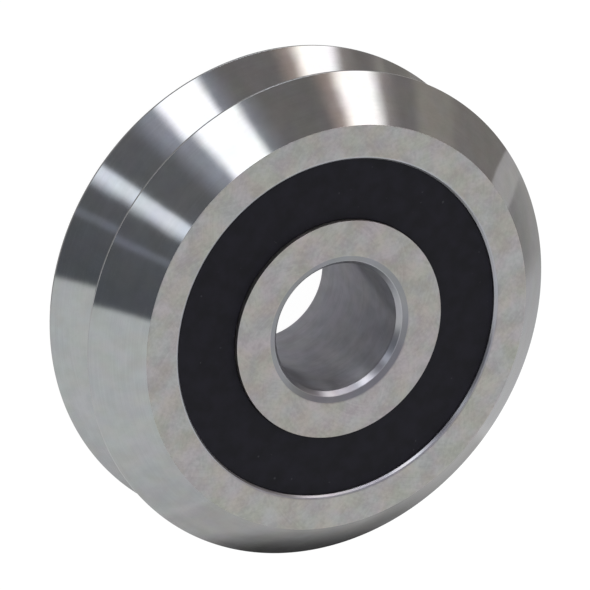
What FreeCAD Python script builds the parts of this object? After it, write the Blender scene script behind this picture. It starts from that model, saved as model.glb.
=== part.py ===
"""Double-vee guide wheel: a wheel body that is the outer ring of its own sealed ball bearing.

The bearing has two rows of balls with angular contact, back to back, each in a crown cage.
The wheel's axis is Z, and the origin is on it, midway between the two side faces.
Front is the +Z side and rear the -Z side. Lengths are in millimetres and angles in degrees.
"""

import FreeCAD
import Part

import os

import Sketcher

# Driving dimensions, each one a cell of the spreadsheet under the same name.
SIZES = {
    # Outside of the wheel
    "wheel_diameter": 45.72,
    "wheel_width": 15.88,
    "ridge_spacing": 8.0,
    "ridge_land": 0.25,
    "flank_angle": 45.0,
    "face_edge_break": 0.05,
    "root_slot_width": 1.2,
    "root_slot_depth": 0.9,
    "root_slot_radius": 0.4,
    # Bore and ends of the inner ring
    "bore_diameter": 12.0,
    "bore_edge_radius": 0.9,
    "land_edge_break": 0.12,
    # Balls and raceways
    "ball_diameter": 5.556,
    "balls_per_row": 10,
    "pitch_diameter": 25.5,
    "row_inset": 4.89,
    "contact_angle": 25.0,
    "race_easing": 0.11,
    "race_clearance": 0.04,
    # Shoulders beside the raceways, as steps in radius from the pitch circle
    "inner_waist_drop": 1.95,
    "inner_shoulder_drop": 1.55,
    "inner_land_drop": 2.53,
    "outer_rib_rise": 1.25,
    "outer_shoulder_rise": 2.0,
    "seal_seat_rise": 3.18,
    # Seal seat in the wheel
    "seal_recess": 0.42,
    "seat_mouth_break": 0.25,
    "seat_snap_depth": 0.35,
    # Seal, its lip and its steel insert
    "seal_thickness": 0.9,
    "seal_rim_height": 0.15,
    "seal_fit": 0.02,
    "lip_clearance": 0.05,
    "lip_edge_break": 0.1,
    "lip_length": 0.35,
    "lip_taper": 0.5,
    "labyrinth_gap": 0.12,
    "insert_thickness": 0.35,
    "insert_lip_cover": 1.18,
    "insert_rim_cover": 0.28,
    "insert_flange": 0.62,
    # Crown cages
    "cage_shoulder_gap": 0.35,
    "cage_wall": 2.4,
    "cage_end_gap": 0.17,
    "pocket_clearance": 0.1,
    "prong_reach": 1.5,
    "prong_split": 0.9,
    "split_rise": 0.9,
}

FULL_TURN = 360
MID_PLANE = "0"
PARTS_FOLDER = "parts"

# How a sketch numbers its own origin and axis, and the points of a line or a circle
SKETCH_ORIGIN = (-1, 1)
SKETCH_AXIS = -1
START, END, CENTRE = 1, 2, 3

doc = FreeCAD.newDocument("double_vee_wheel")
sheet = doc.addObject("Spreadsheet::Sheet", "sizes")
for row, (name, value) in enumerate(SIZES.items(), start=1):
    sheet.set(f"A{row}", name)
    sheet.set(f"B{row}", str(value))
    sheet.setAlias(f"B{row}", name)
doc.recompute()


# Radii and heights that pieces share, as expressions on the sheet.
# A radius is from the wheel's axis, and a height is from its middle plane towards a side face.
FACE_Z = "(sizes.wheel_width / 2)"
RIM_R = "(sizes.wheel_diameter / 2)"
BORE_R = "(sizes.bore_diameter / 2)"
FLANK_SLOPE = "tan(sizes.flank_angle)"
RIDGE_FRONT_Z = "((sizes.ridge_spacing + sizes.ridge_land) / 2)"
RIDGE_BACK_Z = "((sizes.ridge_spacing - sizes.ridge_land) / 2)"
SLOT_Z = "(sizes.root_slot_width / 2)"
FACE_R = f"({RIM_R} - ({FACE_Z} - {RIDGE_FRONT_Z}) * {FLANK_SLOPE})"
SLOT_EDGE_R = f"({RIM_R} - ({RIDGE_BACK_Z} - {SLOT_Z}) * {FLANK_SLOPE})"
SLOT_FLOOR_R = f"({SLOT_EDGE_R} - sizes.root_slot_depth)"

PITCH_R = "(sizes.pitch_diameter / 2)"
BALL_R = "(sizes.ball_diameter / 2)"
ROW_Z = f"({FACE_Z} - sizes.row_inset)"
RACE_R = f"({BALL_R} + sizes.race_easing)"
RACE_SHIFT = "(sizes.race_easing - sizes.race_clearance)"
RACE_SHIFT_R = f"({RACE_SHIFT} * cos(sizes.contact_angle))"
RACE_SHIFT_Z = f"({RACE_SHIFT} * sin(sizes.contact_angle))"

INNER_WAIST_R = f"({PITCH_R} - sizes.inner_waist_drop)"
INNER_SHOULDER_R = f"({PITCH_R} - sizes.inner_shoulder_drop)"
LAND_R = f"({PITCH_R} - sizes.inner_land_drop)"
OUTER_RIB_R = f"({PITCH_R} + sizes.outer_rib_rise)"
OUTER_SHOULDER_R = f"({PITCH_R} + sizes.outer_shoulder_rise)"
SEAT_R = f"({PITCH_R} + sizes.seal_seat_rise)"
SNAP_R = f"({SEAT_R} + sizes.seat_snap_depth)"

SEAL_FRONT_Z = f"({FACE_Z} - sizes.seal_recess)"
SEAL_BACK_Z = f"({SEAL_FRONT_Z} - sizes.seal_thickness)"
SNAP_FRONT_Z = f"({SEAL_FRONT_Z} - sizes.seal_rim_height)"
SNAP_BACK_Z = f"({SNAP_FRONT_Z} - sizes.seat_snap_depth)"
LIP_R = f"({LAND_R} + sizes.lip_clearance)"
INSERT_INNER_R = f"({LAND_R} + sizes.insert_lip_cover)"
INSERT_OUTER_R = f"({SEAT_R} - sizes.insert_rim_cover)"
INSERT_FLANGE_R = f"({INSERT_OUTER_R} - sizes.insert_thickness)"
INSERT_FRONT_Z = f"({SEAL_BACK_Z} + sizes.insert_thickness)"
INSERT_FLANGE_Z = f"({SEAL_BACK_Z} + sizes.insert_flange)"

POCKET_R = f"({BALL_R} + sizes.pocket_clearance)"
CAGE_INNER_R = f"({INNER_SHOULDER_R} + sizes.cage_shoulder_gap)"
CAGE_OUTER_R = f"({CAGE_INNER_R} + sizes.cage_wall)"
CAGE_END_Z = f"({SEAL_BACK_Z} - sizes.cage_end_gap)"
CAGE_TIP_Z = f"({ROW_Z} - sizes.prong_reach)"
SPLIT_END_Z = f"({ROW_Z} + sizes.split_rise)"
BALL_STEP = f"({FULL_TURN} / sizes.balls_per_row)"


def measure(expression):
    """The number that an expression comes to with the sheet's present values."""
    return float(sheet.evalExpression(expression))


def origin_feature(body, role):
    """One of a body's own origin planes or axes."""
    return next(f for f in body.Origin.OriginFeatures if f.Role == role)


def new_body(label):
    body = doc.addObject("PartDesign::Body", label)
    body.Label = label
    return body


def new_sketch(body, label, plane):
    sketch = body.newObject("Sketcher::SketchObject", label)
    sketch.AttachmentSupport = [(origin_feature(body, plane), "")]
    sketch.MapMode = "FlatFace"
    return sketch


def bind_distance(sketch, kind, target, expression):
    """Adds one dimension to a sketch and ties it to the sheet."""
    index = sketch.addConstraint(Sketcher.Constraint(kind, *target, measure(expression)))
    sketch.setExpression(f"Constraints[{index}]", expression)


def pin_point(sketch, line, end, radius, height):
    """Holds a point of a half section at its radius and its height above the middle plane."""
    bind_distance(sketch, "DistanceX", (*SKETCH_ORIGIN, line, end), radius)
    if height == MID_PLANE:
        sketch.addConstraint(Sketcher.Constraint("PointOnObject", line, end, SKETCH_AXIS))
    else:
        bind_distance(sketch, "DistanceY", (*SKETCH_ORIGIN, line, end), height)


def draw_loop(sketch, places):
    """A closed loop of straight lines joined end to end; line number i starts at place number i."""
    count = len(places)
    points = [FreeCAD.Vector(x, y, 0) for x, y in places]
    for i in range(count):
        sketch.addGeometry(Part.LineSegment(points[i], points[(i + 1) % count]), False)
    for i in range(count):
        sketch.addConstraint(Sketcher.Constraint("Coincident", i, END, (i + 1) % count, START))


def draw_outline(sketch, corners):
    """A closed outline of straight lines through corners given as (radius, height)."""
    draw_loop(sketch, [(measure(radius), measure(height)) for radius, height in corners])
    for i, (radius, height) in enumerate(corners):
        pin_point(sketch, i, START, radius, height)


def draw_circle(sketch, centre, radius):
    """A circle whose centre is given as (radius from the axis, height)."""
    place = FreeCAD.Vector(measure(centre[0]), measure(centre[1]), 0)
    normal = FreeCAD.Vector(0, 0, 1)
    circle = sketch.addGeometry(Part.Circle(place, normal, measure(radius)), False)
    pin_point(sketch, circle, CENTRE, *centre)
    bind_distance(sketch, "Radius", (circle,), radius)


def turn(body, kind, label, draw, *arguments):
    """Revolves (or, as a groove, cuts) a section drawn on the XZ plane about the wheel's axis."""
    sketch = new_sketch(body, f"{label}_section", "XZ_Plane")
    draw(sketch, *arguments)
    feature = body.newObject(f"PartDesign::{kind}", label)
    feature.Profile = sketch
    feature.ReferenceAxis = (sketch, ["V_Axis"])
    feature.Angle = FULL_TURN
    doc.recompute()
    return feature


def revolve(body, label, corners):
    return turn(body, "Revolution", label, draw_outline, corners)


def check_cut(feature):
    """Stops the build if a cut took nothing away from the solid before it."""
    if feature.Shape.Volume >= feature.BaseFeature.Shape.Volume:
        raise RuntimeError(f"{feature.Label} cuts nothing")
    return feature


def mirror(body, label, features):
    """Repeats features on the other side of the middle plane."""
    mirrored = body.newObject("PartDesign::Mirrored", label)
    mirrored.Originals = features
    mirrored.MirrorPlane = (origin_feature(body, "XY_Plane"), [""])
    body.Tip = mirrored
    doc.recompute()
    return mirrored


def repeat_round(body, label, features):
    """Repeats features once for each ball of a row."""
    pattern = body.newObject("PartDesign::PolarPattern", label)
    pattern.Originals = features
    pattern.Axis = (origin_feature(body, "Z_Axis"), [""])
    pattern.Angle = FULL_TURN
    pattern.setExpression("Occurrences", "sizes.balls_per_row")
    body.Tip = pattern
    doc.recompute()
    return pattern


def edges_at(shape, radius, height):
    """Names of the round edges at a radius and at a height either side of the middle plane."""
    tolerance = 1e-4
    names = []
    for number, edge in enumerate(shape.Edges, start=1):
        curve = edge.Curve
        if not isinstance(curve, Part.Circle):
            continue
        right_radius = abs(curve.Radius - measure(radius)) < tolerance
        right_height = abs(abs(curve.Center.z) - measure(height)) < tolerance
        if right_radius and right_height:
            names.append(f"Edge{number}")
    return names


def dress(body, kind, label, place, amount, size):
    """Fillets or chamfers the round edges at a place by one of the sheet's sizes."""
    base = body.Tip
    edges = edges_at(base.Shape, *place)
    if not edges:
        raise RuntimeError(f"{label} finds no edge")
    feature = body.newObject(f"PartDesign::{kind}", label)
    feature.Base = (base, edges)
    feature.setExpression(amount, f"sizes.{size}")
    doc.recompute()


def flip_to_rear(body, turned_by=MID_PLANE):
    """Turns a piece that was drawn on the front side over to the rear side."""
    spin = f"rotation(vector(0; 0; 1); {turned_by})"
    flip = f"rotation(vector(1; 0; 0); {FULL_TURN} / 2)"
    body.setExpression("Placement", f"placement(vector(0; 0; 0); {spin} * {flip})")


# Wheel body
def build_outer_ring():
    body = new_body("outer_ring")
    blank = revolve(body, "wheel_blank", [
        (OUTER_RIB_R, MID_PLANE),
        (SLOT_FLOOR_R, MID_PLANE),
        (SLOT_FLOOR_R, SLOT_Z),
        (SLOT_EDGE_R, SLOT_Z),
        (RIM_R, RIDGE_BACK_Z),
        (RIM_R, RIDGE_FRONT_Z),
        (FACE_R, FACE_Z),
        (OUTER_SHOULDER_R, FACE_Z),
        (OUTER_SHOULDER_R, ROW_Z),
        (OUTER_RIB_R, ROW_Z),
    ])
    race_centre = (f"{PITCH_R} - {RACE_SHIFT_R}", f"{ROW_Z} + {RACE_SHIFT_Z}")
    raceway = check_cut(turn(body, "Groove", "raceway", draw_circle, race_centre, RACE_R))
    seat = check_cut(turn(body, "Groove", "seal_seat", draw_outline, [
        (OUTER_RIB_R, FACE_Z),
        (OUTER_RIB_R, SEAL_BACK_Z),
        (SNAP_R, SEAL_BACK_Z),
        (SNAP_R, SNAP_BACK_Z),
        (SEAT_R, SNAP_FRONT_Z),
        (SEAT_R, FACE_Z),
    ]))
    mirror(body, "both_sides", [blank, raceway, seat])
    dress(body, "Chamfer", "seat_mouths", (SEAT_R, FACE_Z), "Size", "seat_mouth_break")
    dress(body, "Chamfer", "face_edges", (FACE_R, FACE_Z), "Size", "face_edge_break")
    dress(body, "Fillet", "root_slot_corners", (SLOT_FLOOR_R, SLOT_Z), "Radius", "root_slot_radius")
    return body


# Ring that the axle or bolt holds
def build_inner_ring():
    body = new_body("inner_ring")
    shoulder_z = f"({SEAL_BACK_Z} - sizes.labyrinth_gap)"
    blank = revolve(body, "ring_blank", [
        (BORE_R, MID_PLANE),
        (INNER_WAIST_R, MID_PLANE),
        (INNER_WAIST_R, ROW_Z),
        (INNER_SHOULDER_R, ROW_Z),
        (INNER_SHOULDER_R, shoulder_z),
        (LAND_R, shoulder_z),
        (LAND_R, FACE_Z),
        (BORE_R, FACE_Z),
    ])
    race_centre = (f"{PITCH_R} + {RACE_SHIFT_R}", f"{ROW_Z} - {RACE_SHIFT_Z}")
    raceway = check_cut(turn(body, "Groove", "raceway", draw_circle, race_centre, RACE_R))
    mirror(body, "both_sides", [blank, raceway])
    dress(body, "Chamfer", "land_edges", (LAND_R, FACE_Z), "Size", "land_edge_break")
    dress(body, "Fillet", "bore_edges", (BORE_R, FACE_Z), "Radius", "bore_edge_radius")
    return body


# Rubber seal: a rim that snaps into the wheel, a flat web and a lip that runs on the inner ring
def build_seal(label):
    body = new_body(label)
    lip_front_z = f"({SEAL_FRONT_Z} - sizes.lip_edge_break)"
    rim_r = f"({SEAT_R} - sizes.seal_fit)"
    snap_r = f"({SNAP_R} - sizes.seal_fit)"
    revolve(body, "rubber", [
        (f"{LIP_R} + sizes.lip_edge_break", SEAL_FRONT_Z),
        (LIP_R, lip_front_z),
        (LIP_R, f"{lip_front_z} - sizes.lip_length"),
        (f"{LIP_R} + sizes.lip_taper", SEAL_BACK_Z),
        (INSERT_INNER_R, SEAL_BACK_Z),
        (INSERT_INNER_R, INSERT_FRONT_Z),
        (INSERT_FLANGE_R, INSERT_FRONT_Z),
        (INSERT_FLANGE_R, INSERT_FLANGE_Z),
        (INSERT_OUTER_R, INSERT_FLANGE_Z),
        (INSERT_OUTER_R, SEAL_BACK_Z),
        (snap_r, SEAL_BACK_Z),
        (snap_r, SNAP_BACK_Z),
        (rim_r, SNAP_FRONT_Z),
        (rim_r, SEAL_FRONT_Z),
    ])
    return body


# Flanged steel washer bonded into the ball side of a seal
def build_seal_insert(label):
    body = new_body(label)
    revolve(body, "pressed_washer", [
        (INSERT_INNER_R, SEAL_BACK_Z),
        (INSERT_OUTER_R, SEAL_BACK_Z),
        (INSERT_OUTER_R, INSERT_FLANGE_Z),
        (INSERT_FLANGE_R, INSERT_FLANGE_Z),
        (INSERT_FLANGE_R, INSERT_FRONT_Z),
        (INSERT_INNER_R, INSERT_FRONT_Z),
    ])
    return body


# Crown cage: a ring with ball pockets that open towards the middle plane, between split prongs
def build_cage(label):
    body = new_body(label)
    revolve(body, "cage_ring", [
        (CAGE_INNER_R, CAGE_TIP_Z),
        (CAGE_OUTER_R, CAGE_TIP_Z),
        (CAGE_OUTER_R, CAGE_END_Z),
        (CAGE_INNER_R, CAGE_END_Z),
    ])
    pocket = body.newObject("PartDesign::SubtractiveSphere", "ball_pocket")
    pocket.AttachmentSupport = [(origin_feature(body, "XY_Plane"), "")]
    pocket.MapMode = "FlatFace"
    pocket.setExpression("Radius", POCKET_R)
    pocket.setExpression("AttachmentOffset.Base.x", PITCH_R)
    pocket.setExpression("AttachmentOffset.Base.z", ROW_Z)
    doc.recompute()
    check_cut(pocket)
    repeat_round(body, "ball_pockets", [pocket])
    split = cut_prong_split(body)
    repeat_round(body, "prong_splits", [split])
    return body


def cut_prong_split(body):
    """Cuts a straight slot from the tip side, halfway between two ball pockets."""
    sketch = new_sketch(body, "prong_split_outline", "XY_Plane")
    sketch.setExpression("AttachmentOffset.Rotation.Angle", f"{BALL_STEP} / 2")
    near, far = measure(LAND_R), measure(SNAP_R)
    side = measure("sizes.prong_split") / 2
    draw_loop(sketch, [(near, -side), (far, -side), (far, side), (near, side)])
    low_line, far_line, high_line, near_line = range(4)
    sketch.addConstraint(Sketcher.Constraint("Horizontal", low_line))
    sketch.addConstraint(Sketcher.Constraint("Horizontal", high_line))
    sketch.addConstraint(Sketcher.Constraint("Vertical", far_line))
    sketch.addConstraint(Sketcher.Constraint("Symmetric", near_line, START, near_line, END, SKETCH_AXIS))
    bind_distance(sketch, "DistanceX", (*SKETCH_ORIGIN, near_line, START), LAND_R)
    bind_distance(sketch, "DistanceX", (*SKETCH_ORIGIN, far_line, START), SNAP_R)
    bind_distance(sketch, "DistanceY", (far_line, START, far_line, END), "sizes.prong_split")
    split = body.newObject("PartDesign::Pocket", "prong_split")
    split.Profile = sketch
    split.Reversed = True
    split.setExpression("Length", SPLIT_END_Z)
    doc.recompute()
    return check_cut(split)


# One ball of a row, at its place on the pitch circle
def build_ball(label, angle, height):
    ball = doc.addObject("Part::Sphere", label)
    ball.Label = label
    ball.setExpression("Radius", BALL_R)
    ball.setExpression("Placement.Base.x", f"{PITCH_R} * cos({angle})")
    ball.setExpression("Placement.Base.y", f"{PITCH_R} * sin({angle})")
    ball.setExpression("Placement.Base.z", height)
    return ball


def build_ball_row(side, height, first_angle):
    count = int(measure("sizes.balls_per_row"))
    return [
        build_ball(f"{side}_ball_{number + 1}", f"{first_angle} + {BALL_STEP} * {number}", height)
        for number in range(count)
    ]


def build_wheel():
    """Every piece of the wheel; the rear row of balls stands half a step round from the front row."""
    half_step = f"({BALL_STEP} / 2)"
    pieces = [build_outer_ring(), build_inner_ring()]
    for side in ("front", "rear"):
        seal = build_seal(f"{side}_seal")
        insert = build_seal_insert(f"{side}_seal_insert")
        cage = build_cage(f"{side}_cage")
        if side == "rear":
            flip_to_rear(seal)
            flip_to_rear(insert)
            flip_to_rear(cage, half_step)
        pieces += [seal, insert, cage]
    pieces += build_ball_row("front", ROW_Z, MID_PLANE)
    pieces += build_ball_row("rear", f"-{ROW_Z}", half_step)
    doc.recompute()
    return pieces


def check_model(pieces):
    """Stops the build if any object failed or any piece isn't one sound solid."""
    for item in doc.Objects:
        if "Invalid" in item.State or "Error" in item.State:
            raise RuntimeError(f"{item.Label} failed: {item.State}")
    for piece in pieces:
        shape = piece.Shape
        if shape.isNull() or not shape.isValid() or len(shape.Solids) != 1:
            raise RuntimeError(f"{piece.Label} isn't one sound solid")


def write_parts(pieces):
    os.makedirs(PARTS_FOLDER, exist_ok=True)
    for piece in pieces:
        piece.Shape.exportStep(os.path.join(PARTS_FOLDER, f"{piece.Label}.step"))


wheel_pieces = build_wheel()
check_model(wheel_pieces)
write_parts(wheel_pieces)
print(f"{len(wheel_pieces)} pieces written")
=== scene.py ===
"""Looks of a double-vee guide wheel on a sealed ball bearing, and the studio that it is shown in.

The wheel's axis is Z, its front side is +Z and the origin is on the axis, midway between the side faces.
Every visible piece of the wheel is turned, so each is an outline of radius and height carried round Z.
Lengths are in metres.
"""

import math
from collections import namedtuple

import bpy
import numpy as np
from mathutils import Matrix, Vector


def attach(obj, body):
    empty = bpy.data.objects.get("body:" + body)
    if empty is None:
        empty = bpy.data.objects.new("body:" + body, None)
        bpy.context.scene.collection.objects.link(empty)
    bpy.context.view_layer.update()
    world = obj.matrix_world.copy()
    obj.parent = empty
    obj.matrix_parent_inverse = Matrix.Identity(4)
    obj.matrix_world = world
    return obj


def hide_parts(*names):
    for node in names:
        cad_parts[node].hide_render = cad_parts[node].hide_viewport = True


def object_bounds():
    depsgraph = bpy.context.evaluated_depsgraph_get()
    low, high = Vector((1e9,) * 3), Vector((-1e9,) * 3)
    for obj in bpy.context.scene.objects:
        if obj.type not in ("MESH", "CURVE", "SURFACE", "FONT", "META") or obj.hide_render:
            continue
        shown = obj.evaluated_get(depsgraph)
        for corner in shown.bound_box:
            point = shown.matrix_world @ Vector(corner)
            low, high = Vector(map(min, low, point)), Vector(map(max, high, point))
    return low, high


bl_info = {
    "name": "Vee Guide Wheel",
    "version": (1, 0, 0),
    "blender": (4, 5, 0),
    "location": "View3D > Sidebar > Guide Wheel",
    "description": "Builds the visible pieces of a double-vee guide wheel and a studio round it",
    "category": "Add Mesh",
}

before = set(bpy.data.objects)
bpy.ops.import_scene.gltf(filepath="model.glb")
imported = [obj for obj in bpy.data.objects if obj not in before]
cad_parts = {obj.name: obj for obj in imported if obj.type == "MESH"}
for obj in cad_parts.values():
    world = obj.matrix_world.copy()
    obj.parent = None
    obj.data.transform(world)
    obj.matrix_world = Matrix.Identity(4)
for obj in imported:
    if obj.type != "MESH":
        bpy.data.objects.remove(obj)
CAD_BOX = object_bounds()

MM = 0.001
FULL_TURN = 2 * math.pi

# How finely the turned surfaces and the cards are cut up
STEPS_ROUND = 400
ARC_STEP = math.radians(12)
CARD_STEP = math.radians(3)
PANEL_STEPS = 9

# Sockets of Blender's Mix node for colours
MIX_FIRST, MIX_SECOND, MIX_RESULT = 6, 7, 2

# Casts of colour that steel drifts between, as the share of their depth in red, green and blue
PINK_CAST, GREEN_CAST = (0.45, -0.35, 0.0), (-0.45, 0.3, 0.0)
YELLOW_CAST, VIOLET_CAST = (0.0, 0.0, -1.0), (0.0, 0.0, 1.0)

# Height of the tool marks on turned steel beside its waves, and how much of the height above the
# middle plane is added to the radius where they are read, so that they change on every slope
MARK_SHARE = 0.03
MARK_LEAN = 0.4

# How many times their pitch the marks on ground steel are long
MARK_STRETCH = 8

# The floor is lifted towards a little over white, because it keeps a share of its own shade
WHITE, OVER_WHITE = (1.0, 1.0, 1.0), (1.06, 1.06, 1.06)

# By how much of the first wall's distance each wall stands nearer than the one before
WALL_STEP = 0.03

# Nearest point that the camera shows, as a share of its distance
CLIP_SHARE = 0.01


# Outlines

Corner = namedtuple("Corner", "radius height round side edge hollow")
Run = namedtuple("Run", "points normals finish")


def corner(radius, height, side, round=0.0, edge=None, hollow=None):
    """A corner of an outline.

    side is the finish of the side that follows the corner. round is the radius that the corner is
    eased to and edge that easing's finish. hollow is the centre of the arc that follows, if one does.
    """
    return Corner(radius, height, round, side, edge or side, hollow)


def below(place, before):
    """The mirror image of a corner under the middle plane, where the side before it follows it."""
    hollow = before.hollow and (before.hollow[0], -before.hollow[1])
    return Corner(place.radius, -place.height, place.round, before.side, place.edge, hollow)


def turned_over(corners):
    """A closed outline mirrored to the other side of the middle plane, still anticlockwise."""
    return [below(c, corners[i - 1]) for i, c in enumerate(corners)][::-1]


def both_sides(front, rear=None):
    """A closed outline from its front half and the mirror image of its rear half.

    Both go up from the middle plane. The rear half is left out where it is the same as the front.
    """
    rear = rear or front
    first = rear[0]
    closing = Corner(first.radius, -first.height, first.round, first.side, first.edge, None)
    mirrored_half = [below(c, before) for before, c in zip(rear, rear[1:])]
    return front + mirrored_half[::-1] + [closing]


def side_normal(start, end):
    """Outward normal of a straight side: its direction turned a quarter turn clockwise."""
    along = (end - start) / np.linalg.norm(end - start)
    return np.array([along[1], -along[0]])


def swing(start, end):
    """Unit vectors that turn in equal steps from one unit vector to another, the short way."""
    first = math.atan2(start[1], start[0])
    turn = math.atan2(start[0] * end[1] - start[1] * end[0], float(start @ end))
    count = max(2, math.ceil(abs(turn) / ARC_STEP)) + 1
    angles = first + np.linspace(0.0, turn, count)
    return np.stack([np.cos(angles), np.sin(angles)], axis=1)


def eased_corner(place, before, after, size):
    """Points and normals of an eased corner: part of the circle of that size that touches both sides.

    The circle's centre is the corner moved along the sum of the sides' normals, into the metal on an
    outer corner and out of it on an inner one. A point is the centre plus the size times the normal.
    """
    outer = before[0] * after[1] - before[1] * after[0] > 0
    reach = size if outer else -size
    centre = place - reach * (before + after) / (1 + before @ after)
    normals = swing(before, after)
    return centre + reach * normals, normals


def outline_runs(corners):
    """The straight, eased and hollow runs of a closed outline, in order, each with its own normals.

    The outline goes anticlockwise, with radius to the right and height upwards.
    """
    count = len(corners)
    places = [np.array([c.radius, c.height]) for c in corners]
    normals = [side_normal(places[i], places[(i + 1) % count]) for i in range(count)]
    starts = list(places)
    ends = places[1:] + places[:1]
    eased = {}
    for i, c in enumerate(corners):
        if c.round:
            points, turned = eased_corner(places[i], normals[i - 1], normals[i], c.round)
            eased[i] = Run(points, turned, c.edge)
            ends[i - 1] = points[0]
            starts[i] = points[-1]
    runs = []
    for i, c in enumerate(corners):
        if i in eased:
            runs.append(eased[i])
        if c.hollow is None:
            runs.append(Run(np.array([starts[i], ends[i]]), np.array([normals[i]] * 2), c.side))
        else:
            centre = np.array(c.hollow)
            size = np.linalg.norm(starts[i] - centre)
            spokes = swing((starts[i] - centre) / size, (ends[i] - centre) / size)
            runs.append(Run(centre + size * spokes, -spokes, c.side))
    return runs


def turn_piece(name, corners, materials):
    """A piece made by turning a closed outline round Z.

    With s along the outline and t round the axis, a point is (r(s) cos t, r(s) sin t, h(s)).
    Each run keeps its own normals up to its ends, so a corner that isn't eased stays sharp.
    """
    finishes = list(materials)
    runs = outline_runs(corners)
    outline = np.concatenate([run.points[:-1] for run in runs])
    starts = np.concatenate([run.normals[:-1] for run in runs])
    ends = np.concatenate([run.normals[1:] for run in runs])
    slots = np.concatenate([np.full(len(run.points) - 1, finishes.index(run.finish)) for run in runs])
    angles = np.arange(STEPS_ROUND) * FULL_TURN / STEPS_ROUND
    ring = np.stack([np.cos(angles), np.sin(angles)], axis=1)

    def spun(pairs, rows, steps):
        return np.concatenate([pairs[rows][..., :1] * ring[steps], pairs[rows][..., 1:]], axis=-1)

    rows, steps = np.indices((len(outline), STEPS_ROUND))
    next_rows, next_steps = (rows + 1) % len(outline), (steps + 1) % STEPS_ROUND
    points = spun(outline, rows, steps).reshape(-1, 3)
    faces = np.stack([
        rows * STEPS_ROUND + steps,
        rows * STEPS_ROUND + next_steps,
        next_rows * STEPS_ROUND + next_steps,
        next_rows * STEPS_ROUND + steps,
    ], axis=-1).reshape(-1, 4)
    normals = np.stack([
        spun(starts, rows, steps),
        spun(starts, rows, next_steps),
        spun(ends, rows, next_steps),
        spun(ends, rows, steps),
    ], axis=-2).reshape(-1, 3)

    mesh = bpy.data.meshes.new(name)
    mesh.from_pydata(points, [], faces)
    mesh.polygons.foreach_set("material_index", np.repeat(slots, STEPS_ROUND).astype(np.int32))
    mesh.shade_smooth()
    mesh.normals_split_custom_set(normals)
    for material in materials.values():
        mesh.materials.append(material)
    return add_object(name, mesh)


def add_object(name, mesh):
    piece = bpy.data.objects.new(name, mesh)
    bpy.context.scene.collection.objects.link(piece)
    return piece


# Shader nodes

class Value:
    """A socket of a shader tree. Python's operators on it add Math nodes."""

    def __init__(self, tree, socket=None):
        self.tree = tree
        self.socket = socket

    def node(self, kind, settings=None, inputs=None, output=0):
        """Any other node: its settings come first, then the values or links of its sockets."""
        made = self.tree.nodes.new(kind)
        for name, value in (settings or {}).items():
            setattr(made, name, value)
        for name, value in (inputs or {}).items():
            if isinstance(value, Value):
                self.tree.links.new(value.socket, made.inputs[name])
            else:
                made.inputs[name].default_value = value
        return Value(self.tree, made.outputs[output] if made.outputs else None)

    def math(self, operation, *others):
        return self.node("ShaderNodeMath", {"operation": operation}, dict(enumerate((self, *others))))

    def __add__(self, other):
        return self.math("ADD", other)

    __radd__ = __add__

    def __mul__(self, other):
        return self.math("MULTIPLY", other)

    __rmul__ = __mul__

    def __sub__(self, other):
        return self.math("SUBTRACT", other)

    def __rsub__(self, other):
        return self * -1.0 + other

    def __truediv__(self, other):
        return self.math("DIVIDE", other)

    def vector(self, operation, *others, output=0):
        return self.node("ShaderNodeVectorMath", {"operation": operation},
                         dict(enumerate((self, *others))), output)

    def scaled(self, factor):
        return self.node("ShaderNodeVectorMath", {"operation": "SCALE"}, {0: self, "Scale": factor})

    def step(self, low, high):
        """0 below low and 1 above high, with a smooth rise between them."""
        return self.node("ShaderNodeMapRange", {"interpolation_type": "SMOOTHSTEP"},
                         {"Value": self, "From Min": low, "From Max": high})

    def between(self, low, high):
        """Maps 0 to 1 onto low to high."""
        return self * (high - low) + low

    def mix(self, first, second):
        """The first colour where this is 0 and the second where it is 1."""
        return self.node("ShaderNodeMix", {"data_type": "RGBA"},
                         {"Factor": self, MIX_FIRST: opaque(first), MIX_SECOND: opaque(second)},
                         MIX_RESULT)


def opaque(colour):
    return colour if isinstance(colour, Value) else (*colour, 1.0)


def dimmed(colour, share):
    return tuple(channel * (1 - share) for channel in colour)


def new_material(name):
    """An empty material and a handle on its tree."""
    material = bpy.data.materials.new(name)
    material.use_nodes = True
    material.node_tree.nodes.clear()
    return material, Value(material.node_tree)


def add_surface(tools, **sockets):
    """The Principled shader of a finish, with the given sockets, on the material's output."""
    inputs = {name.replace("_", " "): value for name, value in sockets.items()}
    shader = tools.node("ShaderNodeBsdfPrincipled", None, inputs)
    tools.node("ShaderNodeOutputMaterial", None, {"Surface": shader})


def object_place(tools):
    return tools.node("ShaderNodeTexCoord", output="Object")


def axis_distance(place):
    return place.vector("MULTIPLY", (1.0, 1.0, 0.0)).vector("LENGTH", output="Value")


def varied(share, value, spread):
    """A value that goes from a spread below it to the same spread above it as the share goes 0 to 1."""
    return share.between(value * (1 - spread), value * (1 + spread))


def noise(place, feature, detail=2.0):
    """Noise from 0 to 1 with features of about the given size."""
    return place.node("ShaderNodeTexNoise", None,
                      {"Vector": place, "Scale": 1 / feature, "Detail": detail})


def lathe_marks(place, radius, length, pitch):
    """Noise drawn out round the axis: of that length along the cut and that pitch across it.

    It is read at (x, y) over the length, and at the radius plus a share of the height over the pitch.
    """
    height = place.node("ShaderNodeSeparateXYZ", None, {0: place}, "Z")
    across = place.node("ShaderNodeCombineXYZ", None, {"Z": (radius + height * MARK_LEAN) / pitch})
    vector = place.vector("MULTIPLY", (1 / length, 1 / length, 0.0)).vector("ADD", across)
    return noise(vector, feature=1.0)


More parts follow.
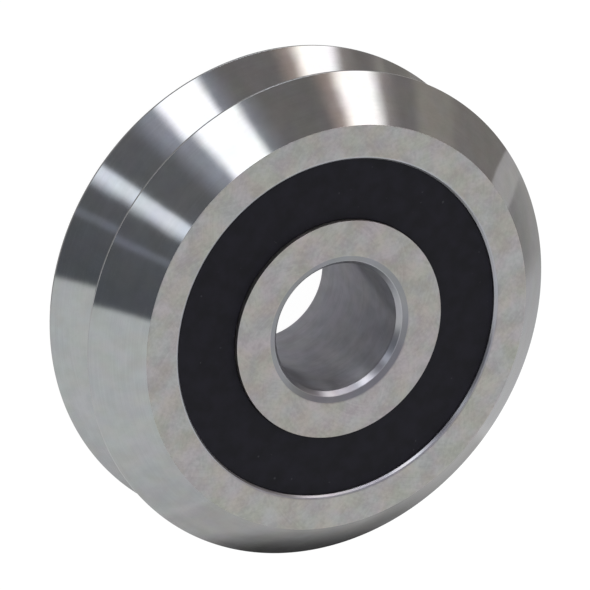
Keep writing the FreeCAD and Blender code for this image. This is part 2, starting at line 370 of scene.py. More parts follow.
def crossing_marks(place, radius, slope, middle, pitch):
    """Noise drawn out along spirals that cross a side face at a slope.

    A point is turned round the axis by slope times (radius over middle) and put on the unit circle,
    where the noise is fine round the circle and slow outwards.
    """
    turned = place.node("ShaderNodeVectorRotate", {"rotation_type": "Z_AXIS"},
                        {"Vector": place, "Angle": radius * (slope / middle)})
    circle = turned.vector("MULTIPLY", (1.0, 1.0, 0.0)).vector("NORMALIZE").scaled(middle / pitch)
    outwards = place.node("ShaderNodeCombineXYZ", None, {"Z": radius / (MARK_STRETCH * pitch)})
    return noise(circle.vector("ADD", outwards), feature=1.0)


def bump(height, strength, distance):
    return height.node("ShaderNodeBump", None,
                       {"Height": height, "Strength": strength, "Distance": distance})


def cast(channels, depth):
    """White with the given shares of a colour's depth added to its channels."""
    return tuple(1 + depth * share for share in channels)


def drifting_tint(place, depth):
    """A tint that drifts between pink and green and, on its own, between yellow and violet."""
    elsewhere = place.vector("ADD", (1.0, 0.0, 0.0))
    rosy = noise(place, feature=1.8 * MM, detail=3.0).step(0.35, 0.65)
    violet = noise(elsewhere, feature=2.4 * MM, detail=3.0).step(0.35, 0.65)
    return rosy.mix(cast(GREEN_CAST, depth), cast(PINK_CAST, depth)).vector(
        "MULTIPLY", violet.mix(cast(YELLOW_CAST, depth), cast(VIOLET_CAST, depth)))


def turned_steel(name, finish, colour, roughness, smear, mottle):
    """Steel finished on a lathe or round grinder: fine marks round the axis smear its reflections.

    A slight waviness under the marks makes the reflections' edges ragged.
    """
    material, tools = new_material(name)
    place = object_place(tools)
    radius = axis_distance(place)
    fine = lathe_marks(place, radius, length=6 * MM, pitch=0.04 * MM)
    broad = lathe_marks(place, radius, length=9 * MM, pitch=0.4 * MM)
    cloud = noise(place, feature=1.5 * MM, detail=4.0)
    waves = noise(place, feature=2.5 * MM, detail=1.0)
    bright = (fine * 0.3 + broad * 0.1 + cloud * 0.6).step(0.3, 0.7)
    shade = bright.between(1 - mottle, 1.0)
    tint = drifting_tint(place, finish.turned_tint)
    marks = fine * 0.7 + broad * 0.3
    add_surface(
        tools, Metallic=1.0,
        Base_Color=tint.vector("MULTIPLY", tuple(colour)).scaled(shade),
        Roughness=varied(fine * 0.5 + cloud * 0.5, roughness, spread=0.2),
        Anisotropic=smear, Anisotropic_Rotation=finish.smear_turn,
        Normal=bump(marks * MARK_SHARE + waves, finish.mark_depth, finish.waviness),
    )
    return material


def ground_steel(name, finish, colour, middle):
    """Steel ground flat: faint crossing marks in patches, and a shade and tint that drift."""
    material, tools = new_material(name)
    place = object_place(tools)
    radius = axis_distance(place)
    patches = noise(place, feature=4 * MM).step(0.42, 0.62)
    leaning = crossing_marks(place, radius, slope=1.2, middle=middle, pitch=0.24 * MM)
    crossing = crossing_marks(place, radius, slope=-1.5, middle=middle, pitch=0.28 * MM)
    marks = leaning * patches + crossing * (1 - patches)
    cloud = noise(place, feature=2 * MM, detail=5.0)
    grain = noise(place, feature=0.3 * MM)
    bright = (cloud * 0.5 + grain * 0.3 + marks * 0.2).step(0.34, 0.66)
    tint = drifting_tint(place, finish.face_tint)
    shade = bright.between(1 - finish.face_mottle, 1.0)
    add_surface(
        tools, Metallic=1.0, Base_Color=tint.vector("MULTIPLY", tuple(colour)).scaled(shade),
        Roughness=varied(marks * 0.5 + cloud * 0.5, finish.face_roughness, spread=0.15),
        Normal=bump(marks + grain * 0.5, finish.mark_depth, distance=0.006 * MM),
    )
    return material


def moulded_rubber(name, finish):
    """Black rubber with a fine grain, slight clouds in its shade and a few pale specks of dust."""
    material, tools = new_material(name)
    place = object_place(tools)
    cloud = noise(place, feature=1.5 * MM, detail=4.0).step(0.3, 0.7)
    specks = noise(place, feature=0.4 * MM, detail=0.0).step(0.82, 0.86)
    grain = noise(place, feature=0.1 * MM)
    rubber = cloud.mix(finish.rubber, finish.rubber_worn)
    add_surface(
        tools, Base_Color=(specks * 0.25).mix(rubber, finish.dust),
        Specular_IOR_Level=finish.rubber_gloss,
        Roughness=varied(cloud, finish.rubber_roughness, spread=0.1),
        Normal=bump(grain, finish.mark_depth, distance=0.01 * MM),
    )
    return material


def clouded(name, colour, metallic, roughness):
    """A plain finish for the pieces inside, clouded in shade and gloss."""
    material, tools = new_material(name)
    place = object_place(tools)
    cloud = noise(place, feature=2 * MM, detail=3.0)
    grain = noise(place, feature=0.2 * MM)
    add_surface(
        tools, Metallic=metallic, Base_Color=cloud.mix(dimmed(colour, share=0.12), colour),
        Roughness=varied(cloud, roughness, spread=0.15),
        Normal=bump(grain, strength=0.15, distance=0.01 * MM),
    )
    return material


# Settings

def length_setting(name, description, default):
    return bpy.props.FloatProperty(name=name, description=description, default=default,
                                   unit="LENGTH", precision=5)


def share_setting(name, description, default):
    return bpy.props.FloatProperty(name=name, description=description, default=default,
                                   min=0.0, max=1.0, subtype="FACTOR")


def angle_setting(name, description, degrees):
    return bpy.props.FloatProperty(name=name, description=description, default=math.radians(degrees),
                                   subtype="ANGLE")


def colour_setting(name, description, default):
    return bpy.props.FloatVectorProperty(name=name, description=description, default=default,
                                         size=3, min=0.0, soft_max=1.0, subtype="COLOR")


class WheelSizes(bpy.types.PropertyGroup):
    """Sizes of the wheel body, the ring in it and the seals."""

    ridge_spacing: length_setting("Ridge spacing", "Distance between the two ridges", 8.0 * MM)
    ridge_land: length_setting("Ridge land", "Width of the flat on a ridge", 0.18 * MM)
    ridge_round: length_setting("Ridge easing", "Easing beside the flat on a ridge", 0.08 * MM)
    slot_width: length_setting("Root slot width", "Width of the slot at the groove's root", 1.2 * MM)
    slot_depth: length_setting("Root slot depth", "Depth of that slot", 0.9 * MM)
    slot_round: length_setting("Root slot easing", "Easing at the slot's floor", 0.4 * MM)
    face_round: length_setting("Face easing", "Easing where a side face meets a bevel", 0.1 * MM)
    small_round: length_setting("Small easing", "Easing of the other visible edges", 0.03 * MM)
    bore: length_setting("Bore", "Diameter of the bore", 12.0 * MM)
    mouth_width: length_setting("Mouth width", "How far the bore's mouth widens in all", 1.0 * MM)
    mouth_depth: length_setting("Mouth depth", "How deep it goes in all", 0.74 * MM)
    lead_width: length_setting("Lead width", "How far its steep inner part widens", 0.385 * MM)
    lead_depth: length_setting("Lead depth", "How deep that inner part starts", 0.26 * MM)
    mouth_round: length_setting("Mouth easing", "Easing of the mouth's edges", 0.2 * MM)
    rear_mouth_depth: length_setting("Rear mouth depth", "Depth of the rear mouth", 0.9 * MM)
    rear_lead_width: length_setting("Rear lead width", "Width of its steep part", 0.51 * MM)
    land_radius: length_setting("Land radius", "Radius that a seal's lip runs on", 10.22 * MM)
    waist_radius: length_setting("Waist radius", "Inner ring between the rows of balls", 10.8 * MM)
    hub_shoulder: length_setting("Hub shoulder", "Radius of the inner ring beside a row", 11.2 * MM)
    hub_shoulder_gap: length_setting("Hub shoulder gap", "From that shoulder to the seal", 0.12 * MM)
    ball: length_setting("Ball", "Diameter of a ball", 5.556 * MM)
    pitch_radius: length_setting("Pitch radius", "Radius of the circle of ball centres", 12.75 * MM)
    row_height: length_setting("Row height", "Height of a row of balls above the middle", 3.05 * MM)
    contact_angle: angle_setting("Contact angle", "Lean of a ball's line of contact", 25.0)
    race_easing: length_setting("Race easing", "Raceway radius less ball radius", 0.11 * MM)
    race_clearance: length_setting("Race clearance", "Gap between a ball and a raceway", 0.04 * MM)
    rib_radius: length_setting("Rib radius", "Wheel body between the rows of balls", 14.0 * MM)
    body_shoulder: length_setting("Body shoulder", "Radius of the wheel body beside a row", 14.75 * MM)
    seat_radius: length_setting("Seat radius", "Radius of the wall round a seal", 15.86 * MM)
    seat_width: length_setting("Seat mouth width", "How far a seal seat widens in all", 0.32 * MM)
    seat_depth: length_setting("Seat mouth depth", "How deep that mouth goes in all", 0.26 * MM)
    seat_lead_width: length_setting("Seat lead width", "How far its steep part widens", 0.15 * MM)
    seat_lead_depth: length_setting("Seat lead depth", "How deep that part starts", 0.07 * MM)
    seat_round: length_setting("Seat easing", "Easing where a seat meets the face", 0.3 * MM)
    snap_depth: length_setting("Snap depth", "Depth of the groove that a seal snaps into", 0.35 * MM)
    seal_recess: length_setting("Seal recess", "How far a seal lies below the side face", 0.42 * MM)
    seal_thickness: length_setting("Seal thickness", "Thickness of a seal", 0.9 * MM)
    seal_rim: length_setting("Seal rim", "Height of a seal's straight rim", 0.15 * MM)
    seal_fit: length_setting("Seal fit", "Gap between a seal and its seat", 0.02 * MM)
    lip_gap: length_setting("Lip gap", "Gap between a seal's lip and the land", 0.03 * MM)
    lip_break: length_setting("Lip break", "Chamfer of the lip's front edge", 0.05 * MM)
    lip_length: length_setting("Lip length", "Length of the lip's straight part", 0.35 * MM)
    lip_taper: length_setting("Lip taper", "How far the lip widens behind", 0.5 * MM)
    insert_thickness: length_setting("Insert thickness", "Sheet of a seal's washer", 0.35 * MM)
    insert_inner: length_setting("Insert inner radius", "Inner radius of that washer", 11.4 * MM)
    insert_outer: length_setting("Insert outer radius", "Outer radius of that washer", 15.65 * MM)
    insert_flange: length_setting("Insert flange", "Height of the washer's flange", 0.62 * MM)


class WheelFinish(bpy.types.PropertyGroup):
    """Colours and surface finish."""

    steel: colour_setting("Steel", "Colour of the turned and ground steel", (0.43, 0.43, 0.43))
    face_steel: colour_setting("Face steel", "Colour of the wheel's side faces", (0.482, 0.458, 0.44))
    hub_steel: colour_setting("Hub steel", "Colour of the inner ring's side faces",
                              (0.478, 0.445, 0.431))
    face_roughness: share_setting("Face roughness", "Roughness of the side faces", 0.42)
    bevel_roughness: share_setting("Bevel roughness", "Roughness of the bevels and groove", 0.09)
    edge_roughness: share_setting("Edge roughness", "Roughness of the bore's mouth and the seats", 0.32)
    edge_steel: colour_setting("Edge steel", "Colour of the mouth's shallow outer part",
                               (0.305, 0.299, 0.316))
    mouth_steel: colour_setting("Mouth steel", "Colour of its steep inner part and the seal seats",
                                (0.45, 0.44, 0.465))
    bore_steel: colour_setting("Bore steel", "Colour of the bore", (0.465, 0.465, 0.49))
    bore_mottle: share_setting("Bore mottle", "How far the bore's shade varies", 0.28)
    bore_roughness: share_setting("Bore roughness", "Roughness of the bore", 0.36)
    smear: share_setting("Smear", "How far the marks on the bevels draw out a reflection", 0.5)
    bore_smear: share_setting("Bore smear", "The same in the bore", 0.93)
    smear_turn: share_setting("Smear direction", "Direction of the smear, as a share of a turn", 0.25)
    mark_depth: share_setting("Mark depth", "How strongly tool marks and grain show", 0.3)
    waviness: length_setting("Waviness", "Height of the slight waves in turned steel", 0.022 * MM)
    turned_mottle: share_setting("Turned mottle", "How far turned steel's shade varies", 0.12)
    face_mottle: share_setting("Face mottle", "How far the side faces' shade varies", 0.24)
    turned_tint: share_setting("Turned tint", "How far turned steel's tint drifts", 0.025)
    face_tint: share_setting("Face tint", "How far the side faces' tint drifts", 0.05)
    rubber: colour_setting("Rubber", "Colour of the seals", (0.0058, 0.005, 0.0082))
    rubber_worn: colour_setting("Worn rubber", "Colour of paler patches on them",
                                (0.0108, 0.0096, 0.0152))
    rubber_gloss: share_setting("Rubber gloss", "Strength of the reflection on the seals", 0.16)
    rubber_roughness: share_setting("Rubber roughness", "Roughness of the seals", 0.6)
    dust: colour_setting("Dust", "Colour of the specks on the seals", (0.09, 0.09, 0.1))
    insert_steel: colour_setting("Insert steel", "Colour of the washers in the seals", (0.5, 0.5, 0.51))
    ball_steel: colour_setting("Ball steel", "Colour of the balls", (0.72, 0.72, 0.73))
    cage: colour_setting("Cage", "Colour of the ball cages", (0.6, 0.56, 0.46))


class StudioSettings(bpy.types.PropertyGroup):
    """Camera, floor and light."""

    distance: length_setting("Distance", "From the camera to the wheel, along its sight", 408.965 * MM)
    elevation: angle_setting("Elevation", "Height of the camera above the horizon", 55.99)
    roll: angle_setting("Roll", "Turn of the camera about its line of sight", 125.27)
    aim_right: length_setting("Aim right", "How far right of centre the wheel is", 0.381 * MM)
    aim_down: length_setting("Aim down", "How far below centre the wheel is", 0.542 * MM)
    lens: bpy.props.FloatProperty(name="Lens", description="Focal length in mm on a 36 mm sensor",
                                  default=276.3, subtype="DISTANCE_CAMERA")
    room: colour_setting("Room", "Colour and level of the light from all round", (0.89, 0.93, 0.93))
    floor: colour_setting("Floor", "Colour of the floor", (0.9, 0.9, 0.9))
    floor_lift: share_setting("Floor lift", "Share of the floor that shows plain white", 0.92)
    floor_size: length_setting("Floor size", "Length of the floor's sides", 6.0)
    wall_distance: length_setting("Wall distance", "From the wheel to the reflected walls", 1.5)
    wall_height: length_setting("Wall height", "Height of those walls", 1.5)


def wheel_sizes():
    return bpy.context.scene.guide_wheel_sizes


def wheel_finish():
    return bpy.context.scene.guide_wheel_finish


def studio_settings():
    return bpy.context.scene.guide_wheel_studio


# Pieces

def raceway(sizes, lean, low_radius, high_radius):
    """Centre of a raceway's arc, and the heights where it leaves the two cylinders beside it.

    The centre lies off the ball's by the easing less the clearance, along the line of contact:
    lean is 1 for the inner ring's raceway, which is nearer the middle, and -1 for the wheel body's.
    """
    shift = lean * (sizes.race_easing - sizes.race_clearance)
    centre = (sizes.pitch_radius + shift * math.cos(sizes.contact_angle),
              sizes.row_height - shift * math.sin(sizes.contact_angle))
    size = sizes.ball / 2 + sizes.race_easing
    low = centre[1] - math.sqrt(size ** 2 - (low_radius - centre[0]) ** 2)
    high = centre[1] + math.sqrt(size ** 2 - (high_radius - centre[0]) ** 2)
    return centre, low, high


def wheel_body_corners(sizes):
    """Groove, ridge, bevel and side face outside; seal seat, shoulder and raceway inside."""
    rim, face = CAD_BOX[1].x, CAD_BOX[1].z
    ridge_low = (sizes.ridge_spacing - sizes.ridge_land) / 2
    ridge_high = (sizes.ridge_spacing + sizes.ridge_land) / 2
    slot_edge = rim - (ridge_low - sizes.slot_width / 2)
    seal_front = face - sizes.seal_recess
    seal_back = seal_front - sizes.seal_thickness
    snap_high = seal_front - sizes.seal_rim
    snap_radius = sizes.seat_radius + sizes.snap_depth
    race, race_low, race_high = raceway(sizes, -1, sizes.rib_radius, sizes.body_shoulder)
    small = sizes.small_round
    return both_sides([
        corner(slot_edge - sizes.slot_depth, sizes.slot_width / 2, "bevel", sizes.slot_round),
        corner(slot_edge, sizes.slot_width / 2, "bevel", small),
        corner(rim, ridge_low, "bevel", sizes.ridge_round),
        corner(rim, ridge_high, "bevel", sizes.ridge_round),
        corner(rim - (face - ridge_high), face, "face", sizes.face_round),
        corner(sizes.seat_radius + sizes.seat_width, face, "edge", sizes.seat_round, edge="face"),
        corner(sizes.seat_radius + sizes.seat_lead_width, face - sizes.seat_lead_depth, "edge", small),
        corner(sizes.seat_radius, face - sizes.seat_depth, "edge", small),
        corner(sizes.seat_radius, snap_high, "edge"),
        corner(snap_radius, snap_high - sizes.snap_depth, "edge"),
        corner(snap_radius, seal_back, "edge"),
        corner(sizes.body_shoulder, seal_back, "edge"),
        corner(sizes.body_shoulder, race_high, "bevel", hollow=race),
        corner(sizes.rib_radius, race_low, "edge"),
    ])


def hub_ring_corners(sizes):
    """Raceway, shoulder and seal land outside; side face, mouth of two slopes and bore inside.

    The rear mouth is the same at the face and has a steep inner part of its own.
    """
    face = CAD_BOX[1].z
    shoulder_top = face - sizes.seal_recess - sizes.seal_thickness - sizes.hub_shoulder_gap
    race, race_low, race_high = raceway(sizes, 1, sizes.waist_radius, sizes.hub_shoulder)
    bore = sizes.bore / 2

    def half(lead_width, mouth_depth):
        return [
            corner(sizes.waist_radius, race_low, "edge", hollow=race),
            corner(sizes.hub_shoulder, race_high, "edge"),
            corner(sizes.hub_shoulder, shoulder_top, "edge"),
            corner(sizes.land_radius, shoulder_top, "face"),
            corner(sizes.land_radius, face, "face", sizes.small_round),
            corner(bore + sizes.mouth_width, face, "edge", sizes.mouth_round * 2, edge="face"),
            corner(bore + lead_width, face - sizes.lead_depth, "mouth", sizes.mouth_round),
            corner(bore, face - mouth_depth, "bore", sizes.mouth_round, edge="mouth"),
        ]

    return both_sides(half(sizes.lead_width, sizes.mouth_depth),
                      half(sizes.rear_lead_width, sizes.rear_mouth_depth))


def seal_corners(sizes):
    """The front seal: lip, ball side with the recess for its washer, snap rim and flat front."""
    front = CAD_BOX[1].z - sizes.seal_recess
    back = front - sizes.seal_thickness
    lip = sizes.land_radius + sizes.lip_gap
    lip_front = front - sizes.lip_break
    rim = sizes.seat_radius - sizes.seal_fit
    snap = rim + sizes.snap_depth
    flange_inner = sizes.insert_outer - sizes.insert_thickness
    flange_top = back + sizes.insert_flange
    sheet_top = back + sizes.insert_thickness
    return [
        corner(lip + sizes.lip_break, front, "rubber", sizes.small_round),
        corner(lip, lip_front, "rubber", sizes.small_round),
        corner(lip, lip_front - sizes.lip_length, "rubber"),
        corner(lip + sizes.lip_taper, back, "rubber"),
        corner(sizes.insert_inner, back, "rubber"),
        corner(sizes.insert_inner, sheet_top, "rubber"),
        corner(flange_inner, sheet_top, "rubber"),
        corner(flange_inner, flange_top, "rubber"),
        corner(sizes.insert_outer, flange_top, "rubber"),
        corner(sizes.insert_outer, back, "rubber"),
        corner(snap, back, "rubber"),
        corner(snap, front - sizes.seal_rim - sizes.snap_depth, "rubber"),
        corner(rim, front - sizes.seal_rim, "rubber"),
        corner(rim, front, "rubber", sizes.small_round),
    ]


class WheelBodyOperator(bpy.types.Operator):
    """Builds the wheel body over the outer ring's solid"""

    bl_idname = "guide_wheel.wheel_body"
    bl_label = "Wheel Body"

    def execute(self, context):
        sizes, finish = wheel_sizes(), wheel_finish()
        face_middle = (CAD_BOX[1].x + sizes.seat_radius) / 2
        piece = turn_piece("wheel_body", wheel_body_corners(sizes), {
            "bevel": turned_steel("bevel_steel", finish, finish.steel, finish.bevel_roughness,
                                  finish.smear, finish.turned_mottle),
            "edge": turned_steel("seat_steel", finish, finish.mouth_steel, finish.edge_roughness,
                                 finish.smear, finish.turned_mottle),
            "face": ground_steel("face_steel", finish, finish.face_steel, face_middle),
        })
        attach(piece, "wheel")
        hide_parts("outer_ring")
        return {"FINISHED"}


class HubRingOperator(bpy.types.Operator):
    """Builds the inner ring over its solid"""

    bl_idname = "guide_wheel.hub_ring"
    bl_label = "Hub Ring"

    def execute(self, context):
        sizes, finish = wheel_sizes(), wheel_finish()
        face_middle = (sizes.bore / 2 + sizes.land_radius) / 2
        piece = turn_piece("hub_ring", hub_ring_corners(sizes), {
            "bore": turned_steel("bore_steel", finish, finish.bore_steel, finish.bore_roughness,
                                 finish.bore_smear, finish.bore_mottle),
            "edge": turned_steel("hub_edge_steel", finish, finish.edge_steel, finish.edge_roughness,
                                 finish.smear, finish.turned_mottle),
            "mouth": turned_steel("mouth_steel", finish, finish.mouth_steel, finish.edge_roughness,
                                  finish.smear, finish.turned_mottle),
            "face": ground_steel("hub_face_steel", finish, finish.hub_steel, face_middle),
        })
        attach(piece, "hub")
        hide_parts("inner_ring")
        return {"FINISHED"}


class SealsOperator(bpy.types.Operator):
    """Builds the front and rear seals over their solids"""

    bl_idname = "guide_wheel.seals"
    bl_label = "Seals"

    def execute(self, context):
        rubber = {"rubber": moulded_rubber("seal_rubber", wheel_finish())}
        front = seal_corners(wheel_sizes())
        for side, corners in (("front", front), ("rear", turned_over(front))):
            piece = turn_piece(f"{side}_rubber_seal", corners, rubber)
            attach(piece, "wheel")
            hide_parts(f"{side}_seal")
        return {"FINISHED"}


class InnerPartsOperator(bpy.types.Operator):
    """Gives the balls, the cages and the seals' washers their finish"""

    bl_idname = "guide_wheel.inner_parts"
    bl_label = "Balls, Cages and Washers"

    def execute(self, context):
        finish = wheel_finish()
        finishes = {
            "_ball_": clouded("ball_steel", finish.ball_steel, 1.0, 0.1),
            "_cage": clouded("cage_polymer", finish.cage, 0.0, 0.5),
            "_insert": clouded("insert_steel", finish.insert_steel, 1.0, 0.35),
        }
        for name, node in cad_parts.items():
            for kind, material in finishes.items():
                if kind in name:
                    node.data.materials.clear()
                    node.data.materials.append(material)
        return {"FINISHED"}


# Studio

# A wall stands round the wheel. Its ends are the angles round the wheel, in degrees from the camera's
# side towards +X, at which the front bevel shows them, and its light shades from one end to the other.
# soft is how far in each end fades, in the same degrees. Later walls stand in front of earlier ones.
# tall is the share of the full height that a wall reaches.
Wall = namedtuple("Wall", "name left right left_light right_light soft_left soft_right tall",
                  defaults=(1.0,))
WALLS = (
    Wall("brown_wall", -104, -62, (0.42, 0.39, 0.37), (0.30, 0.285, 0.28), 0, 0),
    Wall("brown_wall_pale", -92, -72, (0.46, 0.43, 0.40), (0.50, 0.47, 0.43), 8, 4),
    Wall("warm_dark_wall", -64, -12, (0.27, 0.25, 0.235), (0.31, 0.305, 0.315), 0, 2),
    Wall("cool_dark_wall", -14, 28.6, (0.235, 0.24, 0.255), (0.145, 0.158, 0.178), 2, 1.6),
    Wall("far_strip_glow", -70, -46, (0.52, 0.48, 0.48), (0.66, 0.54, 0.49), 6, 5),
    Wall("far_strip", -65, -50.3, (2.6, 2.6, 2.65), (2.8, 2.62, 2.48), 4.4, 4.4),
    Wall("left_strip_glow", -35, -8, (0.5, 0.53, 0.6), (0.55, 0.58, 0.68), 8, 7),
    Wall("left_strip", -29.4, -15, (2.6, 2.65, 2.7), (2.6, 2.65, 2.75), 2.6, 3.4),
    Wall("right_strip", -0.2, 6.3, (1.6, 1.7, 1.86), (1.6, 1.7, 1.86), 1.5, 3.6),
    Wall("right_glint", 10.4, 13.6, (0.32, 0.34, 0.4), (0.32, 0.34, 0.4), 1.3, 1.3),
    Wall("far_table", 60, 97, (0.9, 0.93, 0.93), (0.7, 0.72, 0.72), 4, 0),
    Wall("low_strip", -52, -28, (4.0, 4.0, 4.2), (4.0, 4.1, 4.4), 5, 5, 0.14),
)

# A panel lies flat beyond the wheel, where the bevels show the floor. Its corners are in millimetres,
# near left, near right, far right and far left, and soft is how far in its left, right, near and far
# edges fade, as shares of it. SHELF is a height that only the front bevel sees, from above.
SHELF = -0.3 * MM
UNDER_SHELF = -0.35 * MM
Panel = namedtuple("Panel", "name height corners left_light right_light soft")
PANELS = (
    Panel("pale_table", -7.85 * MM, ((-400, 24), (400, 24), (700, 900), (-700, 900)),
          (0.78, 0.77, 0.765), (0.68, 0.68, 0.68), (0, 0, 0, 0)),
    Panel("brown_table", -7.8 * MM, ((-25, 18), (-25, -10), (-1400, 240), (-1400, 740)),
          (0.45, 0.42, 0.40), (0.45, 0.42, 0.40), (0.02, 0, 0, 0)),
    # A dark panel in front of the wheel, which the steel reflects: painted shade of the wheel on the
    # floor there
    Panel("near_table_shade", -7.75 * MM, ((-60, -60), (15.5, -60), (15.5, -2), (-60, -2)),
          (0.39, 0.38, 0.38), (0.39, 0.39, 0.4), (0, 0, 0, 0)),
    Panel("side_table", -7.75 * MM, ((15.5, -60), (60, -60), (60, 8), (15.5, 8)),
          (0.76, 0.77, 0.77), (0.72, 0.73, 0.73), (0, 0, 0, 0)),
    Panel("brown_shelf", SHELF, ((-964, 1059), (-30, 16), (-30, 4), (-1379, 243)),
          (0.46, 0.43, 0.40), (0.35, 0.33, 0.315), (0, 0, 0.06, 0)),
    Panel("streak_shelf", SHELF, ((-30.3, 22), (-34.8, 32), (-17, 32), (-17, 22)),
          (0.57, 0.56, 0.55), (0.30, 0.295, 0.29), (0, 0, 0.04, 0.3)),
    Panel("bright_shelf", UNDER_SHELF, ((-52, 20), (-28, 20), (-28, 36), (-52, 42)),
          (0.67, 0.66, 0.65), (0.67, 0.66, 0.65), (0, 0, 0, 0)),
    Panel("dull_shelf", UNDER_SHELF, ((-28, 20), (1, 20), (1, 36), (-28, 36)),
          (0.56, 0.56, 0.57), (0.6, 0.6, 0.61), (0, 0.08, 0, 0.15)),
    Panel("duller_shelf", UNDER_SHELF - 0.05 * MM, ((18, 27), (18, 33), (-1, 33), (-1, 27)),
          (0.38, 0.38, 0.38), (0.68, 0.67, 0.66), (0, 0.2, 0.3, 0.15)),
    Panel("shade_shelf", SHELF, ((4, 25), (52, 13.5), (60, 38), (4, 30.5)),
          (0.06, 0.06, 0.06), (0.06, 0.06, 0.06), (0.25, 0.5, 0, 0.78)),
    Panel("under_bore", -7.9 * MM, ((8, -8), (8, 8), (-8, 8), (-8, -8)),
          (0.18, 0.175, 0.19), (0.68, 0.67, 0.695), (0, 0, 0, 0)),
    Panel("dim_ceiling", 1.3, ((-2600, -900), (900, -900), (900, 300), (-2600, 1900)),
          (0.32, 0.32, 0.35), (0.54, 0.54, 0.58), (0, 0.2, 0.1, 0.25)),
)


def mirrored(sight, angle):
    """Where the sight goes from a bevel at 45 degrees: less twice its part along the bevel's normal."""
    normal = Vector((math.sin(angle), -math.cos(angle), 1)).normalized()
    return sight - 2 * sight.dot(normal) * normal


def wall_points(wall, sight, studio, distance):
    """Part of an upright cylinder round the wheel, from the floor up, between the wall's two ends.

    A point is (d sin a, -d cos a, h), for a from end to end and h from the floor to the wall's top.
    """
    ends = [mirrored(sight, math.radians(angle)) for angle in (wall.left, wall.right)]
    left, right = (math.atan2(end.x, -end.y) for end in ends)
    count = math.ceil((right - left) / CARD_STEP) + 1
    top = studio.wall_height * wall.tall
    azimuth, height = np.meshgrid(np.linspace(left, right, count), [CAD_BOX[0].z, top])
    return np.stack([distance * np.sin(azimuth), -distance * np.cos(azimuth), height], axis=-1)


def panel_points(panel):
    """A flat sheet: the straight mean of its four corners, by the share of the way along each side."""
    near_left, near_right, far_right, far_left = np.array(panel.corners) * MM
    across, along = np.meshgrid(np.linspace(0, 1, PANEL_STEPS), np.linspace(0, 1, PANEL_STEPS))
    across, along = across[..., None], along[..., None]
    near = near_left + (near_right - near_left) * across
    far = far_left + (far_right - far_left) * across
    return np.insert(near + (far - near) * along, 2, panel.height, axis=-1)


def card_piece(card, points, soft):
    """A sheet of light through a grid of points, which only reflections show."""
    rows, columns = np.indices(points.shape[:2])
    index = rows * points.shape[1] + columns
    faces = np.stack([index[:-1, :-1], index[:-1, 1:], index[1:, 1:], index[1:, :-1]], axis=-1)
    share = np.stack([columns / columns.max(), rows / rows.max()], axis=-1).reshape(-1, 2)
    mesh = bpy.data.meshes.new(card.name)
    mesh.from_pydata(points.reshape(-1, 3), [], faces.reshape(-1, 4))
    corner_shares = share[faces.ravel()].astype(np.float32)
    mesh.uv_layers.new(name="share").uv.foreach_set("vector", corner_shares.ravel())
    mesh.materials.append(card_material(card, soft))
    piece = add_object(card.name, mesh)
    piece.visible_camera = False
    return piece


def card_material(card, soft):
    """Light that shades from a card's left end to its right one and fades towards its edges.

    soft is how far in the left, right, low and high edges fade, as shares of the card.
    """
    material, tools = new_material(card.name)
    place = tools.node("ShaderNodeUVMap")
    across = tools.node("ShaderNodeSeparateXYZ", None, {0: place}, "X")
    along = tools.node("ShaderNodeSeparateXYZ", None, {0: place}, "Y")
    lit = 1.0
    for inwards, share in zip((across, 1 - across, along, 1 - along), soft):
        if share:
            lit = inwards.step(0.0, share) * lit
    colour = across.mix(card.left_light, card.right_light)
    glow = tools.node("ShaderNodeEmission", None, {"Color": colour})
    clear = tools.node("ShaderNodeBsdfTransparent")
    surface = tools.node("ShaderNodeMixShader", None, {0: lit, 1: clear, 2: glow})
    tools.node("ShaderNodeOutputMaterial", None, {"Surface": surface})
    return material


def add_cards(studio):
    """Walls in front of one another, and panels that leave the floor's own light alone."""
    sight = Vector((0, math.cos(studio.elevation), -math.sin(studio.elevation)))
    for place, wall in enumerate(WALLS):
        distance = studio.wall_distance * (1 - WALL_STEP * place)
        width = wall.right - wall.left
        soft = (wall.soft_left / width, wall.soft_right / width, 0, 0)
        card_piece(wall, wall_points(wall, sight, studio, distance), soft)
    for panel in PANELS:
        piece = card_piece(panel, panel_points(panel), panel.soft)
        piece.visible_shadow = False
        piece.visible_diffuse = False


def floor_material(studio):
    """A pale floor, lifted towards plain white where the camera, a reflection or glass shows it."""
    material, tools = new_material("studio_floor")
    seen = tools.node("ShaderNodeLightPath", output="Is Camera Ray")
    for ray in ("Is Glossy Ray", "Is Transmission Ray"):
        seen = seen.math("MAXIMUM", tools.node("ShaderNodeLightPath", output=ray))
    paint = tools.node("ShaderNodeBsdfDiffuse", None, {"Color": opaque(studio.floor)})
    white = tools.node("ShaderNodeEmission", None, {"Color": opaque(OVER_WHITE)})
    surface = tools.node("ShaderNodeMixShader", None, {0: seen * studio.floor_lift, 1: paint, 2: white})
    tools.node("ShaderNodeOutputMaterial", None, {"Surface": surface})
    return material


def add_floor(studio):
    half, height = studio.floor_size / 2, CAD_BOX[0].z
    mesh = bpy.data.meshes.new("studio_floor")
    ends = np.array([(-half, -half), (half, -half), (half, half), (-half, half)])
    mesh.from_pydata(np.insert(ends, 2, height, axis=1), [], [(0, 1, 2, 3)])
    mesh.materials.append(floor_material(studio))
    add_object("studio_floor", mesh)


def add_room(studio):
    """Light from all round, which the camera itself sees as white."""
    world = bpy.data.worlds.new("room")
    world.use_nodes = True
    world.node_tree.nodes.clear()
    tools = Value(world.node_tree)
    seen = tools.node("ShaderNodeLightPath", output="Is Camera Ray")
    light = tools.node("ShaderNodeBackground", None, {"Color": seen.mix(studio.room, WHITE)})
    tools.node("ShaderNodeOutputWorld", None, {"Surface": light})
    bpy.context.scene.world = world


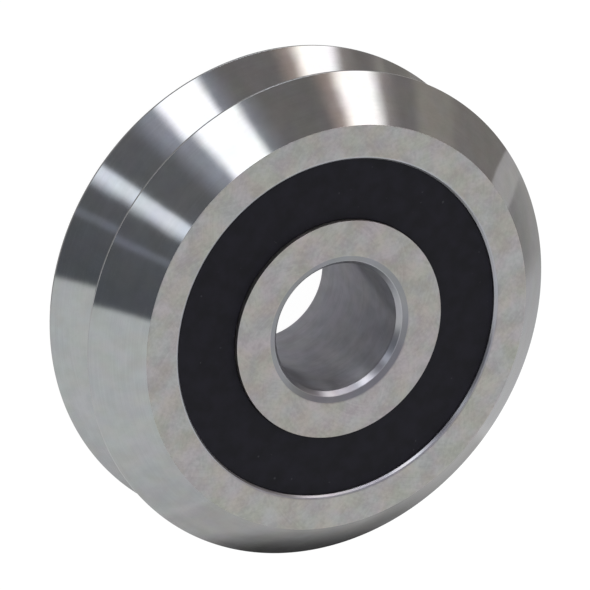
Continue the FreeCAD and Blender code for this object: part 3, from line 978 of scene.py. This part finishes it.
def add_camera(studio):
    """The camera looks along +Y and down, turned about its own sight by the roll."""
    sight = Vector((0, math.cos(studio.elevation), -math.sin(studio.elevation)))
    level = Vector((1, 0, 0))
    upright = level.cross(sight)
    right = math.cos(studio.roll) * level + math.sin(studio.roll) * upright
    up = right.cross(sight)
    place = -(studio.distance * sight + studio.aim_right * right - studio.aim_down * up)
    camera = bpy.data.objects.new("camera", bpy.data.cameras.new("camera"))
    camera.matrix_world = Matrix.Translation(place) @ Matrix((right, up, -sight)).transposed().to_4x4()
    camera.data.lens = studio.lens
    camera.data.clip_start = studio.distance * CLIP_SHARE
    bpy.context.scene.collection.objects.link(camera)
    bpy.context.scene.camera = camera


class StudioOperator(bpy.types.Operator):
    """Adds the floor, the room's light, the cards that the steel reflects and the camera"""

    bl_idname = "guide_wheel.studio"
    bl_label = "Studio"

    def execute(self, context):
        studio = studio_settings()
        add_floor(studio)
        add_room(studio)
        add_cards(studio)
        add_camera(studio)
        context.scene.view_settings.view_transform = "Standard"
        return {"FINISHED"}


class GuideWheelPanel(bpy.types.Panel):
    """Steps that build the wheel and its studio"""

    bl_idname = "VIEW3D_PT_guide_wheel"
    bl_label = "Guide Wheel"
    bl_space_type = "VIEW_3D"
    bl_region_type = "UI"
    bl_category = "Guide Wheel"

    def draw(self, context):
        for operator in OPERATORS:
            self.layout.operator(operator.bl_idname)
        for group in (wheel_sizes(), wheel_finish(), studio_settings()):
            box = self.layout.box()
            for name in group.__annotations__:
                box.prop(group, name)


OPERATORS = (WheelBodyOperator, HubRingOperator, SealsOperator, InnerPartsOperator, StudioOperator)
CLASSES = (WheelSizes, WheelFinish, StudioSettings, *OPERATORS, GuideWheelPanel)


def register():
    for item in CLASSES:
        bpy.utils.register_class(item)
    scene = bpy.types.Scene
    scene.guide_wheel_sizes = bpy.props.PointerProperty(type=WheelSizes)
    scene.guide_wheel_finish = bpy.props.PointerProperty(type=WheelFinish)
    scene.guide_wheel_studio = bpy.props.PointerProperty(type=StudioSettings)


def unregister():
    scene = bpy.types.Scene
    del scene.guide_wheel_studio
    del scene.guide_wheel_finish
    del scene.guide_wheel_sizes
    for item in reversed(CLASSES):
        bpy.utils.unregister_class(item)


def main():
    register()
    bpy.ops.guide_wheel.wheel_body()
    bpy.ops.guide_wheel.hub_ring()
    bpy.ops.guide_wheel.seals()
    bpy.ops.guide_wheel.inner_parts()
    bpy.ops.guide_wheel.studio()
    bpy.context.view_layer.update()


if __name__ == "__main__":
    main()
